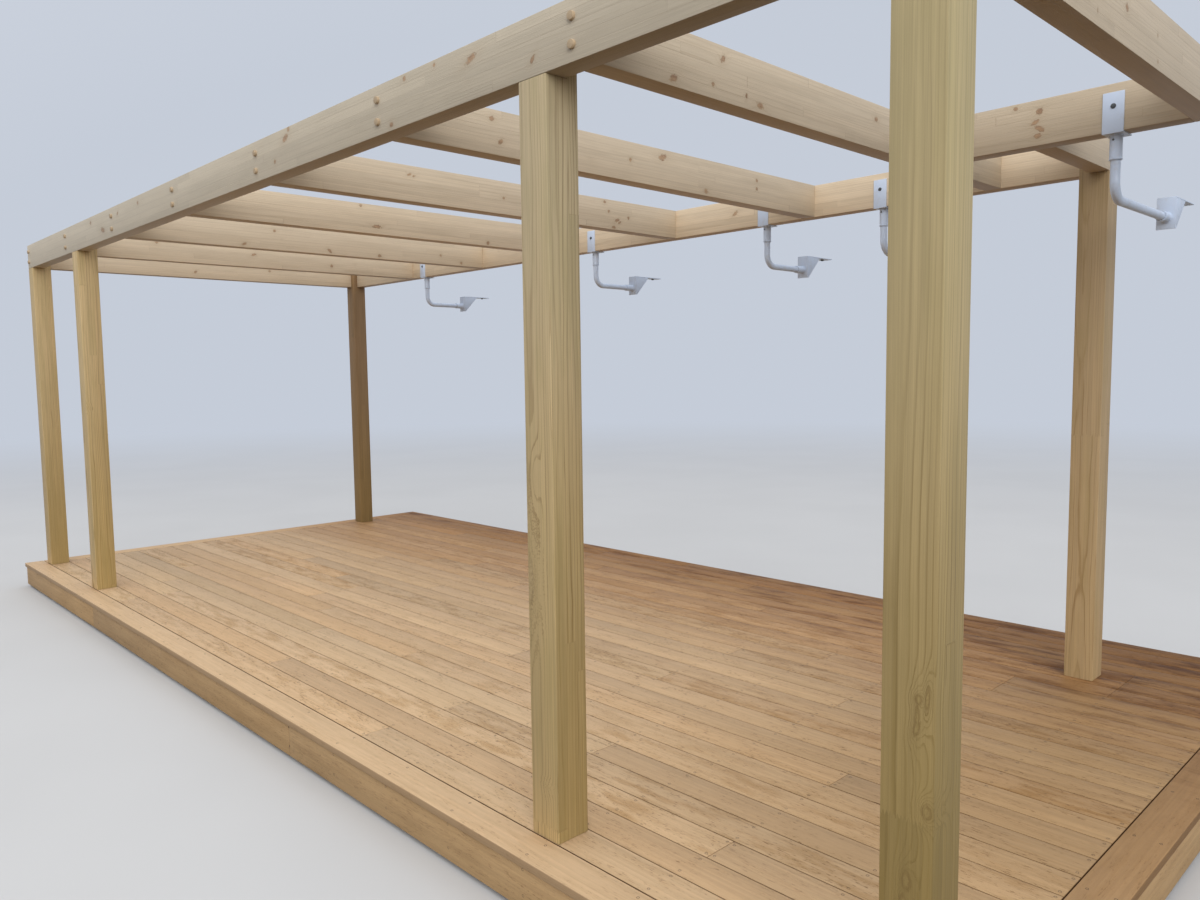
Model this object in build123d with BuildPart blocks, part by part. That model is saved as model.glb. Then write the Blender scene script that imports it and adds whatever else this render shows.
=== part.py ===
from build123d import *
import os

# A timber pergola on a low timber deck, open to the sky. The back is held by steel brackets.
# All sizes are in millimetres. X runs along the front beam, from the far end to the near end,
# Y runs from the front to the back, and Z is up. The origin is under the middle of the deck.

# Posts and roof timbers
post_width = 135
post_height = 2515
timber_thickness = 88
timber_depth = 190
rafter_count = 8
rafter_spacing = 1134
far_bay = 1330                 # centre of the far corner post to the centre of the second post
near_bay = 1305                # centre of the near corner post to the centre of the middle post
back_row = 2943                # front face of the front posts to front face of the back posts
back_post_inset = 601          # near face of the near corner post to near face of the back post
ledger_step = 814              # how far the near ledger stands forward of the far one
step_rafter = 6                # the rafter at which the ledger steps, counted from 0

# Deck
board_thickness = 32
board_width = 140
board_gap = 5
border_inset = 8               # end face of the corner posts to the joint of the end border
back_strip = 671.5             # back of the back posts to the back of the deck
fascia_height = 150
fascia_thickness = 25
nosing = 10                    # overhang of the deck boards past the fascia
edge_round = 4
joist_spacing = 430
joist_thickness = 45
near_joist_inset = 46          # near end of the front beam to the centre of the first joist
bearer_count = 3
bearer_width = 120
bearer_setback = 260           # front and back of the joists to the outer bearers
ground_gap = 20                # ground to the underside of the fascia

# Steel brackets that reach down from the ledgers, then back to a foot that bolts up
bracket_sites = ((1, 219), (3, 310), (5, -342), (5, 484), (7, -308))    # rafter, offset from it
far_reach = 450                # front face of the ledger to the face of the foot
near_reach = 761
plate_width = 80
plate_height = 155
plate_thickness = 6
flange_lip = 12                # how far the flange runs on past the back of the ledger
collar_outer = 48
collar_length = 100
pipe_outer = 38
pipe_wall = 3
pipe_clearance = 0.3
bend_radius = 75
pipe_drop = 258                # underside of the ledger to the centre of the level pipe
foot_drop = 165                # underside of the ledger to the top of the foot
foot_height = 145
foot_length = 300
gusset_length = 150
sleeve_length = 80
foot_hole = 11
foot_hole_from_face = 90       # face of the foot to its first bolt hole
foot_hole_spacing = 150

# Places that follow from the sizes
tongue = post_width - timber_thickness
deck_top = ground_gap + fascia_height + board_thickness
joist_top = deck_top - board_thickness
beam_bottom = deck_top + post_height
beam_top = beam_bottom + timber_depth
frame_length = rafter_spacing * (rafter_count - 1) + timber_thickness
near_end = frame_length / 2
far_end = -near_end
front_strip = board_width + board_gap / 2
deck_depth = front_strip + back_row + post_width + back_strip
deck_front = -deck_depth / 2
deck_back = deck_depth / 2
deck_half = near_end - border_inset + board_gap / 2 + board_width
front_y = deck_front + front_strip
back_y = front_y + back_row
ledger_y = back_y + tongue
near_ledger_y = ledger_y - ledger_step
ledger_back = ledger_y + timber_thickness
near_ledger_back = near_ledger_y + timber_thickness
back_post_x = near_end - back_post_inset - post_width
return_beam_x = back_post_x + tongue
rafter_x = [far_end + rafter_spacing * i for i in range(rafter_count)]


def block(x_from, x_to, y_from, y_to, z_from, z_to):
    with BuildPart() as piece:
        with BuildSketch(Plane.XY.offset(z_from)):
            with Locations(((x_from + x_to) / 2, (y_from + y_to) / 2)):
                Rectangle(x_to - x_from, y_to - y_from)
        extrude(amount=z_to - z_from)
    return piece


# A post is full width up to the underside of the beam. Above that only a tongue is left,
# behind the beam, or in the inner corner where a rafter meets the beam.
def post(x_from, y_from, tongue_x, tongue_y, tongue_length):
    with BuildPart() as piece:
        with BuildSketch(Plane.XY.offset(deck_top)):
            with Locations((x_from + post_width / 2, y_from + post_width / 2)):
                Rectangle(post_width, post_width)
        extrude(amount=post_height)
        with BuildSketch(Plane.XY.offset(beam_bottom)):
            with Locations((tongue_x + tongue_length / 2, tongue_y + tongue / 2)):
                Rectangle(tongue_length, tongue)
        extrude(amount=timber_depth)
    return piece


# A deck board or strip, rounded along the top edges that face outwards
def deck_piece(x_from, x_to, y_from, y_to, rounded_sides):
    with BuildPart() as piece:
        with BuildSketch(Plane.XY.offset(joist_top)):
            with Locations(((x_from + x_to) / 2, (y_from + y_to) / 2)):
                Rectangle(x_to - x_from, y_to - y_from)
        extrude(amount=board_thickness)
        top_edges = piece.faces().sort_by(Axis.Z)[-1].edges()
        rounded = [top_edges.sort_by(side)[place] for side, place in rounded_sides]
        fillet(rounded, radius=edge_round)
    return piece


# The plate stands on the front face of the ledger, and its flange runs back under the ledger.
# The collar hangs from the flange.
def bracket_plate(x_centre, y_face):
    flange_length = plate_thickness + timber_thickness + flange_lip
    y_pipe = y_face + timber_thickness / 2
    with BuildPart() as piece:
        with BuildSketch(Plane.YZ.offset(x_centre - plate_width / 2)):
            with BuildLine():
                Polyline(
                    (y_face, beam_bottom),
                    (y_face, beam_bottom + plate_height),
                    (y_face - plate_thickness, beam_bottom + plate_height),
                    (y_face - plate_thickness, beam_bottom - plate_thickness),
                    (y_face - plate_thickness + flange_length, beam_bottom - plate_thickness),
                    (y_face - plate_thickness + flange_length, beam_bottom),
                    close=True,
                )
            make_face()
        extrude(amount=plate_width)
        with BuildSketch(Plane.XY.offset(beam_bottom - plate_thickness)):
            with Locations((x_centre, y_pipe)):
                Circle(collar_outer / 2)
                Circle(pipe_outer / 2 + pipe_clearance, mode=Mode.SUBTRACT)
        extrude(amount=-collar_length)
    return piece


# The pipe drops from the flange, turns towards the back and ends on the foot.
def bracket_pipe(x_centre, y_face, reach):
    y_pipe = y_face + timber_thickness / 2
    z_run = beam_bottom - pipe_drop
    with BuildPart() as piece:
        with BuildLine() as route:
            FilletPolyline(
                (x_centre, y_pipe, beam_bottom - plate_thickness),
                (x_centre, y_pipe, z_run),
                (x_centre, y_face + reach, z_run),
                radius=bend_radius,
            )
        with BuildSketch(Plane(origin=route.line @ 0, z_dir=route.line % 0)):
            Circle(pipe_outer / 2)
            Circle(pipe_outer / 2 - pipe_wall, mode=Mode.SUBTRACT)
        sweep(path=route.line)
    return piece


# The foot bolts up from below: a face plate with the sleeve of the pipe, a long top flange
# with two bolt holes, and a gusset along each side.
def bracket_foot(x_centre, y_face, reach):
    y_plate = y_face + reach
    z_top = beam_bottom - foot_drop
    z_run = beam_bottom - pipe_drop
    with BuildPart() as piece:
        with BuildSketch(Plane.YZ.offset(x_centre - plate_width / 2)):
            with BuildLine():
                Polyline(
                    (y_plate, z_top),
                    (y_plate + foot_length, z_top),
                    (y_plate + foot_length, z_top - plate_thickness),
                    (y_plate + plate_thickness, z_top - plate_thickness),
                    (y_plate + plate_thickness, z_top - foot_height),
                    (y_plate, z_top - foot_height),
                    close=True,
                )
            make_face()
        extrude(amount=plate_width)
        for x_side in (x_centre - plate_width / 2, x_centre + plate_width / 2 - plate_thickness):
            with BuildSketch(Plane.YZ.offset(x_side)):
                with BuildLine():
                    Polyline(
                        (y_plate + plate_thickness, z_top - plate_thickness),
                        (y_plate + gusset_length, z_top - plate_thickness),
                        (y_plate + plate_thickness, z_top - foot_height),
                        close=True,
                    )
                make_face()
            extrude(amount=plate_thickness)
        with BuildSketch(Plane.XZ.offset(-y_plate)):
            with Locations((x_centre, z_run)):
                Circle(collar_outer / 2)
                Circle(pipe_outer / 2 + pipe_clearance, mode=Mode.SUBTRACT)
        extrude(amount=sleeve_length)
        first_hole = y_plate + foot_hole_from_face
        with Locations(Plane.XY.offset(z_top)):
            with Locations((x_centre, first_hole), (x_centre, first_hole + foot_hole_spacing)):
                Hole(radius=foot_hole / 2, depth=plate_thickness)
    return piece


pieces = {}

# Deck surface: one edge board along the front, a border board at each end, boards between
border_inner = near_end - border_inset - board_gap / 2
boards_front = front_y + board_gap / 2
left, right, front = (Axis.X, 0), (Axis.X, -1), (Axis.Y, 0)
pieces["deck_edge_board"] = deck_piece(
    -deck_half, deck_half, deck_front, front_y - board_gap / 2, (left, right, front)
)
pieces["deck_border_far"] = deck_piece(
    -deck_half, -deck_half + board_width, boards_front, deck_back, (left,)
)
pieces["deck_border_near"] = deck_piece(
    deck_half - board_width, deck_half, boards_front, deck_back, (right,)
)
pieces["deck_boards"] = block(
    -border_inner, border_inner, boards_front, deck_back, joist_top, deck_top
)

# Fascia boards, set back under the deck boards
fascia_half = deck_half - nosing
fascia_front = deck_front + nosing
joist_front = fascia_front + fascia_thickness
pieces["fascia_front"] = block(
    -fascia_half, fascia_half, fascia_front, joist_front, ground_gap, joist_top
)
pieces["fascia_far"] = block(
    -fascia_half, -fascia_half + fascia_thickness, joist_front, deck_back, ground_gap, joist_top
)
pieces["fascia_near"] = block(
    fascia_half - fascia_thickness, fascia_half, joist_front, deck_back, ground_gap, joist_top
)

# Joists across the deck, evenly spaced from the near end, with one more to close the far end
# and one under each end border. They lie on the bearers.
first_joist = near_end - near_joist_inset
joist_count = int(2 * first_joist // joist_spacing) + 1
joist_row_centre = first_joist - joist_spacing * (joist_count - 1) / 2
joist_run = 2 * (fascia_half - fascia_thickness)
end_joist = (joist_run - joist_thickness) / 2
joist_length = deck_back - joist_front
joist_y = (joist_front + deck_back) / 2
with BuildPart() as joists:
    with BuildSketch(Plane.XY.offset(ground_gap)):
        with Locations((joist_row_centre, joist_y)):
            with GridLocations(joist_spacing, joist_length, joist_count, 1):
                Rectangle(joist_thickness, joist_length)
        with Locations((-end_joist, joist_y), (-first_joist, joist_y), (end_joist, joist_y)):
            Rectangle(joist_thickness, joist_length)
    extrude(amount=fascia_height)
pieces["deck_joists"] = joists

bearer_spacing = (joist_length - 2 * bearer_setback - bearer_width) / (bearer_count - 1)
with BuildPart() as bearers:
    with BuildSketch():
        with Locations((0, joist_y)):
            with GridLocations(joist_run, bearer_spacing, 1, bearer_count):
                Rectangle(joist_run, bearer_width)
    extrude(amount=ground_gap)
pieces["deck_bearers"] = bearers

# Posts along the front and along the back
second_post_x = far_end + far_bay
middle_post_x = near_end - near_bay - post_width
inner_y = front_y + timber_thickness
inner_far_x = far_end + timber_thickness
near_corner_x = near_end - post_width
pieces["post_far_corner"] = post(far_end, front_y, inner_far_x, inner_y, tongue)
pieces["post_second"] = post(second_post_x, front_y, second_post_x, inner_y, post_width)
pieces["post_middle"] = post(middle_post_x, front_y, middle_post_x, inner_y, post_width)
pieces["post_near_corner"] = post(near_corner_x, front_y, near_corner_x, inner_y, tongue)
pieces["post_back_far"] = post(far_end, back_y, inner_far_x, back_y, tongue)
pieces["post_back_near"] = post(back_post_x, back_y, back_post_x, back_y, tongue)

# Beams: the front beam, the two ledgers at the back and the return between them
step_x = rafter_x[step_rafter] + timber_thickness
pieces["front_beam"] = block(
    far_end, near_end, front_y, front_y + timber_thickness, beam_bottom, beam_top
)
pieces["ledger_far"] = block(
    inner_far_x, return_beam_x, ledger_y, ledger_back, beam_bottom, beam_top
)
pieces["ledger_near"] = block(
    step_x, rafter_x[-1], near_ledger_y, near_ledger_back, beam_bottom, beam_top
)
pieces["return_beam"] = block(
    return_beam_x,
    return_beam_x + timber_thickness,
    near_ledger_back,
    ledger_back,
    beam_bottom,
    beam_top,
)

# Rafters, from the front beam to a ledger. The end ones run past the ledger's end.
for i, x_from in enumerate(rafter_x):
    if i == 0:
        y_to = ledger_back
    elif i <= step_rafter:
        y_to = ledger_y
    else:
        y_to = near_ledger_back
    pieces[f"rafter_{i + 1}"] = block(
        x_from, x_from + timber_thickness, inner_y, y_to, beam_bottom, beam_top
    )

# Brackets, numbered from the far end
for i, (rafter, offset) in enumerate(bracket_sites):
    x_centre = rafter_x[rafter] + timber_thickness / 2 + offset
    on_near_ledger = x_centre > step_x
    y_face = near_ledger_y if on_near_ledger else ledger_y
    reach = near_reach if on_near_ledger else far_reach
    pieces[f"bracket_{i + 1}_plate"] = bracket_plate(x_centre, y_face)
    pieces[f"bracket_{i + 1}_pipe"] = bracket_pipe(x_centre, y_face, reach)
    pieces[f"bracket_{i + 1}_foot"] = bracket_foot(x_centre, y_face, reach)

os.makedirs("parts", exist_ok=True)
for name, piece in pieces.items():
    piece.part.label = name
    export_step(piece.part, f"parts/{name}.step")
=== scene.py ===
import bpy
import math
import random
from functools import partial
from mathutils import Matrix, Vector
from types import SimpleNamespace


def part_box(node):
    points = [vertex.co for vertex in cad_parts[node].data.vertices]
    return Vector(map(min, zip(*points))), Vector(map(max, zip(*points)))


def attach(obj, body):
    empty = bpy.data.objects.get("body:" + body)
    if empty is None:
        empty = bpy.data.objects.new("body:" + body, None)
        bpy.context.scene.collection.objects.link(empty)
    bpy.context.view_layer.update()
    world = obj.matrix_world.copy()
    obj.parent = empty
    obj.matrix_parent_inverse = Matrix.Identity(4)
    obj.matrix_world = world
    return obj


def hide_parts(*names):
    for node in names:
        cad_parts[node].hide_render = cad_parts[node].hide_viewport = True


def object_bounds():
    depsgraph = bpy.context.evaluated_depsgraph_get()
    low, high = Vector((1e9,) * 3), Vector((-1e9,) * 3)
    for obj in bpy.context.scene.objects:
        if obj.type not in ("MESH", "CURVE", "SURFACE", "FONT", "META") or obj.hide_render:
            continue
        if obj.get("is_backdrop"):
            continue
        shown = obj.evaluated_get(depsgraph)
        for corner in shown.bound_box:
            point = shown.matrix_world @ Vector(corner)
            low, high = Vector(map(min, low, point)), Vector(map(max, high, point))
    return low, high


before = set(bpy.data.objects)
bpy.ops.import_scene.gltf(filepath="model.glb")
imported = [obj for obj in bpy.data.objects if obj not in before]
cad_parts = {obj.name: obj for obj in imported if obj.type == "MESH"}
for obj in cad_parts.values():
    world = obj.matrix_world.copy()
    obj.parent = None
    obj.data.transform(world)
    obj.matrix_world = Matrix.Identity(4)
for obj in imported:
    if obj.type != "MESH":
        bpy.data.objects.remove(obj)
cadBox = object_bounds()
random.seed(41)

# Metres throughout. X runs along the front beam, Y from front to back, Z up.


# Small helpers for modelling
upright, lyingBack = (0, 0, 0), (math.pi / 2, 0, 0)     # turns of a round piece
cornerAngle, smoothAngle = math.radians(40), math.radians(35)
facing, endFacing = 0.9, 0.8    # least part of a face's normal along the way that it faces
hair = 0.001                    # the most that two places may differ and still count as one


def objectMode():
    bpy.ops.object.mode_set(mode="OBJECT")


def editMode():
    bpy.ops.object.mode_set(mode="EDIT")


def nothingSelected():
    if bpy.context.object and bpy.context.object.mode != "OBJECT":
        objectMode()
    bpy.ops.object.select_all(action="DESELECT")


def onlySelected(piece):
    nothingSelected()
    piece.select_set(True)
    bpy.context.view_layer.objects.active = piece


def pickFaces(piece, test):
    # leaves edit mode on, with just the faces that pass the test selected
    editMode()
    bpy.ops.mesh.select_mode(type="FACE")
    bpy.ops.mesh.select_all(action="DESELECT")
    objectMode()
    for face in piece.data.polygons:
        face.select = test(face.center, face.normal)
    editMode()


def pullOut(value):
    # extrudes what is selected, and leaves edit mode
    bpy.ops.mesh.extrude_region_move(TRANSFORM_OT_translate={"value": value})
    objectMode()


def settle(name):
    # names a new primitive and takes its place into its mesh
    piece = bpy.context.object
    piece.name = piece.data.name = name
    bpy.ops.object.transform_apply(location=True, rotation=True, scale=True)
    return piece


def applyModifier(piece, kind, **settings):
    onlySelected(piece)
    bpy.ops.object.modifier_add(type=kind)
    modifier = piece.modifiers[-1]
    for key, value in settings.items():
        setattr(modifier, key, value)
    bpy.ops.object.modifier_apply(modifier=modifier.name)
    bpy.ops.object.shade_smooth_by_angle(angle=smoothAngle)


def roundEdges(piece, width, segments=2):
    applyModifier(piece, "BEVEL", width=width, segments=segments, limit_method="ANGLE",
                  angle_limit=cornerAngle)


def addBlock(name, low, high):
    nothingSelected()
    low, high = Vector(low), Vector(high)
    bpy.ops.mesh.primitive_cube_add(size=1, location=(low + high) / 2, scale=high - low)
    return settle(name)


def addDisc(name, spot, radius, thick, turn=upright, sides=24, arris=0.0):
    nothingSelected()
    bpy.ops.mesh.primitive_cylinder_add(vertices=sides, radius=radius, depth=thick,
                                        location=spot, rotation=turn)
    piece = settle(name)
    if arris:
        roundEdges(piece, arris)
    return piece


def joinPieces(name, parts):
    nothingSelected()
    for part in parts:
        part.select_set(True)
    bpy.context.view_layer.objects.active = parts[0]
    if len(parts) > 1:
        bpy.ops.object.join()
    piece = bpy.context.object
    piece.name = piece.data.name = name
    return piece


def addToScene(name, data):
    made = bpy.data.objects.new(name, data)
    bpy.context.scene.collection.objects.link(made)
    return made


def pieceName(node):
    # front_beam becomes frontBeam
    first, *others = node.split("_")
    return first + "".join(word.capitalize() for word in others)


def finishPiece(piece, material, slot, *nodes):
    piece.data.materials.clear()
    piece.data.materials.append(material)
    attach(piece, "root")
    if nodes:
        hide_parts(*nodes)


def setGrain(piece, along, stack, seed, tone, warmth, low=None):
    # grain holds where a point is along the timber, through its layers and across it;
    # timber holds the numbers that make this length of wood its own
    mesh = piece.data
    axes = "XYZ"
    across = axes.replace(along, "").replace(stack, "")
    order = [axes.index(a) for a in (along, stack, across)]
    if low is None:
        low = [min(v.co[i] for v in mesh.vertices) for i in range(3)]
    grain = mesh.attributes.new("grain", "FLOAT_VECTOR", "POINT")
    timber = mesh.attributes.new("timber", "FLOAT_VECTOR", "POINT")
    ends = mesh.attributes.new("endGrain", "FLOAT", "FACE")
    for vertex in mesh.vertices:
        grain.data[vertex.index].vector = [vertex.co[i] - low[i] for i in order]
        timber.data[vertex.index].vector = (seed, tone, warmth)
    for face in mesh.polygons:
        ends.data[face.index].value = float(abs(face.normal[order[0]]) > endFacing)


def shadeSides(piece, test):
    # the faces that stand in a narrow gap, where painted shade darkens the wood further down
    sides = piece.data.attributes.new("inGap", "FLOAT", "FACE")
    for face in piece.data.polygons:
        sides.data[face.index].value = float(test(face.center, face.normal))


# Small helpers for materials

def nodeTools(owner):
    # owner is a new material or world
    owner.use_nodes = True
    tree = owner.node_tree
    tree.nodes.clear()

    def put(value, socket):
        if isinstance(value, bpy.types.NodeSocket):
            tree.links.new(value, socket)
        elif value is not None:
            socket.default_value = value

    def paint(value, socket):
        # a colour gets the fourth number that its socket asks for
        put((*value, 1) if isinstance(value, tuple) else value, socket)

    def node(kind, **settings):
        made = tree.nodes.new("ShaderNode" + kind)
        for key, value in settings.items():
            setattr(made, key, value)
        return made

    def setInputs(made, values):
        for key, value in values.items():
            paint(value, made.inputs[key])

    def give(made, *values):
        for socket, value in zip(made.inputs, values):
            put(value, socket)

    def calc(operation, a, b=None, c=None, clamp=False):
        made = node("Math", operation=operation, use_clamp=clamp)
        give(made, a, b, c)
        return made.outputs[0]

    def bell(value, steepness):
        # 1 where value is 0, and less on both sides
        squared = calc("MULTIPLY", value, value)
        return calc("EXPONENT", calc("MULTIPLY", squared, -steepness))

    def sway(value, pattern, amount):
        # moves value both ways with a pattern that runs from 0 to 1
        return calc("ADD", value, calc("MULTIPLY", calc("SUBTRACT", pattern, 0.5), amount))

    def vec(operation, a, b=None, scale=None):
        made = node("VectorMath", operation=operation)
        give(made, a, b, None, scale)
        return made.outputs[1 if operation in ("LENGTH", "DOT_PRODUCT") else 0]

    def combine(x, y, z):
        made = node("CombineXYZ")
        give(made, x, y, z)
        return made.outputs[0]

    def separate(value):
        made = node("SeparateXYZ")
        give(made, value)
        return tuple(made.outputs)

    def noise(place, scale, detail=2.0, rough=0.5):
        # a tuple of scales stretches the pattern: along the timber, then across it
        if isinstance(scale, tuple):
            place, scale = vec("MULTIPLY", place, (*scale, scale[-1])[:3]), 1.0
        made = node("TexNoise", noise_dimensions="3D")
        setInputs(made, {"Vector": place, "Scale": scale, "Detail": detail, "Roughness": rough})
        return made.outputs["Fac"]

    def white(place):
        made = node("TexWhiteNoise", noise_dimensions="3D")
        put(place, made.inputs["Vector"])
        return made.outputs["Value"], made.outputs["Color"]

    def ease(value, low, high, outLow=0.0, outHigh=1.0, way="SMOOTHSTEP"):
        made = node("MapRange", interpolation_type=way)
        give(made, value, low, high, outLow, outHigh)
        return made.outputs[0]

    def mix(factor, a, b, way="MIX"):
        made = node("Mix", data_type="RGBA", blend_type=way)
        put(factor, made.inputs[0])
        paint(a, made.inputs[6])
        paint(b, made.inputs[7])
        return made.outputs[2]

    def attribute(attributeName, output):
        made = node("Attribute", attribute_name=attributeName)
        return made.outputs[output]

    def objectPlace():
        return node("TexCoord").outputs["Object"]

    def surface(colour, roughness, height, depth, **others):
        shader, bump = node("BsdfPrincipled"), node("Bump")
        setInputs(shader, {"Base Color": colour, "Roughness": roughness, **others})
        setInputs(bump, {"Strength": 1.0, "Distance": depth, "Height": height})
        put(bump.outputs[0], shader.inputs["Normal"])
        put(shader.outputs[0], node("OutputMaterial").inputs[0])
        return owner

    tools = {key: value for key, value in locals().items() if callable(value)}
    for word, operation in {
        "plus": "ADD", "minus": "SUBTRACT", "times": "MULTIPLY", "over": "DIVIDE",
        "most": "MAXIMUM", "least": "MINIMUM", "whole": "FLOOR", "part": "FRACT",
    }.items():
        tools[word] = partial(calc, operation)
    return SimpleNamespace(**tools)


# Wood. Growth rings are cut out of a round log, so the faces, the edges and the end grain all
# agree. Laminated timber has layers glued one on another, each made of finger-jointed lengths.

aging = {
    # the deck: where each change starts and where it is whole, along Y, or X where it says so
    # the back, near and rear tints mark where painted shade darkens the deck
    "backTint": (-0.7, 2.1), "nearTintX": (1.6, 3.8), "nearTint": (-2.4, -0.3),
    "dashes": (-1.0, 1.0), "damp": (0.6, 2.2), "dampSlant": 0.25, "rearDamp": (1.6, 1.9),
    "rearTint": (1.25, 1.9),
    # the posts: the same, by how far up they are, and how thin their outer skins are
    "topLines": (1.8, 0.9), "topTint": (0.9, 2.4), "sideDark": (1.9, 0.1), "footFrom": 0.1,
    "skin": 0.006,
}


def woodMaterial(name, look, knots=()):
    t = nodeTools(bpy.data.materials.new(name))
    look = SimpleNamespace(**look)
    place = t.attribute("grain", "Vector")
    u, v, w = t.separate(place)
    seed, tone, warmth = t.separate(t.attribute("timber", "Vector"))
    layer = t.whole(t.over(t.plus(v, 0.0002), look.layer))
    layerPick, _ = t.white(t.combine(layer, seed, 3.1))
    if look.length:
        zigzag = t.times(t.calc("PINGPONG", w, look.fingerPitch),
                         look.fingerLength / look.fingerPitch)
        run = t.over(t.plus(u, zigzag), look.length)
        run = t.plus(run, t.calc("MULTIPLY_ADD", layerPick, 9.0, look.shift))
        run = t.plus(run, t.times(t.calc("SINE", t.times(run, 2.3)), 0.28))
        stave = t.whole(run)
    else:
        run, stave = None, 0.0
    pick, pickColour = t.white(t.combine(layer, stave, seed))
    pickA, pickB, pickC = t.separate(pickColour)
    # where the heart of the log lies from this layer
    middleV = t.times(t.plus(layer, 0.5), look.layer)
    side = t.minus(t.times(t.calc("GREATER_THAN", pickB, 0.5), 2.0), 1.0)
    heart = t.times(side, t.plus(t.times(pickA, look.heartSpread), look.heartNear))
    fromV = t.plus(t.minus(v, middleV), heart)
    fromW = t.minus(t.minus(w, look.width / 2 - look.heartAside),
                   t.times(t.minus(pickC, 0.5), look.width * 1.1))
    shifted = t.vec("ADD", place, t.vec("SCALE", pickColour, scale=31.0))
    wander = t.noise(shifted, (0.75, 3.0), 2.0, 0.45)
    ripple = t.noise(shifted, (5.0, 14.0), 1.0, 0.5)
    radius = t.calc("SQRT", t.plus(t.times(fromV, fromV), t.times(fromW, fromW)))
    radius = t.sway(radius, wander, look.wander)
    radius = t.sway(radius, ripple, look.wander * 0.09)
    # knots, each a short spindle of darker wood that the grain flows round
    cell = look.knotCell
    knotPlace = t.vec("ADD", place, t.combine(seed, t.times(layer, 0.61), t.times(layer, 0.37)))
    knotPlace = t.vec("SCALE", t.vec("MULTIPLY", knotPlace, look.knotAxis), scale=1 / cell)
    cells = t.node("TexVoronoi", voronoi_dimensions="3D", feature="F1")
    t.put(knotPlace, cells.inputs["Vector"])
    t.put(1.0, cells.inputs["Scale"])
    keepPick, sizePick, _ = t.separate(cells.outputs["Color"])
    knotRadius = t.times(t.plus(t.times(sizePick, 0.9), 0.45), look.knotRadius)
    knotGap = t.over(t.times(cells.outputs["Distance"], cell), knotRadius)
    knotGap = t.plus(knotGap, t.times(t.calc("LESS_THAN", keepPick, 1 - look.knotShare), 90.0))
    for alongAt, upAt, size, stretch, lean, acrossAt in knots:
        narrow = Vector(look.knotAxis) / size
        narrow.x /= stretch
        away = t.vec("SUBTRACT", place, (alongAt, upAt, acrossAt))
        if lean:      # a slanting knot: it drifts along the timber as it rises
            _, rise, drift = t.separate(away)
            turned = t.times(drift if look.knotAxis[1] < 1 else rise, lean)
            away = t.vec("SUBTRACT", away, t.combine(turned, 0, 0))
        knotGap = t.least(knotGap, t.vec("LENGTH", t.vec("MULTIPLY", away, narrow)))
    fibre = t.noise(shifted, (14.0, 620.0), 1.0, 0.6)
    streak = t.noise(shifted, (1.6, 85.0), 1.0, 0.55)
    rough = t.noise(shifted, look.raggedScale, 2.0, 0.6)
    knotGap = t.sway(knotGap, rough, look.ragged)
    flow = t.bell(knotGap, 0.16)
    radius = t.plus(radius, t.times(flow, look.swirl))
    for alongAt, acrossAt, size, stretch in look.whorls:
        narrow = Vector((1 / (size * stretch), 0.3 / size, 1 / size))
        away = t.vec("SUBTRACT", place, (alongAt, 0, acrossAt))
        reach = t.vec("LENGTH", t.vec("MULTIPLY", away, narrow))
        radius = t.plus(radius, t.times(t.bell(reach, 0.5), look.whorlDepth))
    knot = t.ease(knotGap, 1.25, 0.65)
    knotRim = t.bell(t.minus(knotGap, 1.0), look.rimSharp)
    # rings: pale early wood that ends in a thin darker line
    turn = t.plus(t.over(radius, look.ring), t.times(streak, 0.35))
    phase = t.part(turn)
    lateWood = t.plus(t.ease(phase, look.lateFrom, 0.9, 0.0, 1 - look.line),
                      t.ease(phase, look.lineFrom, 0.9, 0.0, look.line))
    lateWood = t.times(lateWood, t.ease(phase, 1.0, 0.95))
    ringPick, _ = t.white(t.combine(t.whole(turn), seed, 0.7))
    lateWood = t.times(lateWood, t.calc("MULTIPLY_ADD", ringPick, 0.5, 0.5))
    comesAndGoes = t.noise(shifted, (2.6, 40.0), 2.0, 0.6)
    lateWood = t.times(lateWood, t.ease(comesAndGoes, 0.32, 0.54, look.faintest, 1.0))
    if look.footShare:
        lateWood = t.times(lateWood, t.ease(u, *aging["topLines"], look.topLines, 1.0))
    colour = t.mix(t.times(lateWood, look.contrast), look.early, look.late)
    # broad stains, then clouds and short dark pores
    patch = t.noise(shifted, look.patchScale, 3.0, 0.6)
    figure = t.ease(pickC, 0.35, 0.97, *look.figure)
    stained = t.calc("MULTIPLY", t.ease(patch, 0.42, 0.7), t.times(figure, look.stainShare),
                     clamp=True)
    colour = t.mix(stained, colour, look.stain)
    colour = t.mix(t.most(warmth, 0.0), colour, look.warm)
    colour = t.mix(t.most(t.times(warmth, -1.0), 0.0), colour, look.cool)
    light = t.plus(t.sway(1.0, pick, look.spread), tone)
    # painted light and shade: the timber is made lighter at the low end of its length and darker at
    # the high end
    if look.fade:
        half = look.fade / 2
        light = t.minus(light, t.ease(u, 0.0, look.fadeOver, -half, half, "LINEAR"))
    if look.pores:
        pore = t.noise(shifted, look.poreScale, 2.0, 0.6)
        where = t.ease(t.plus(patch, t.times(figure, 0.12)), 0.45, 0.68, 0.0, look.pores)
        colour = t.mix(t.times(t.ease(pore, 0.59, 0.67), where), colour, look.poreColour)
        mottle = t.noise(shifted, look.mottleScale, 2.0, 0.55)
        light = t.times(light, t.ease(mottle, 0.25, 0.75, 1 + look.mottle, 1 - look.mottle))
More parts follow.
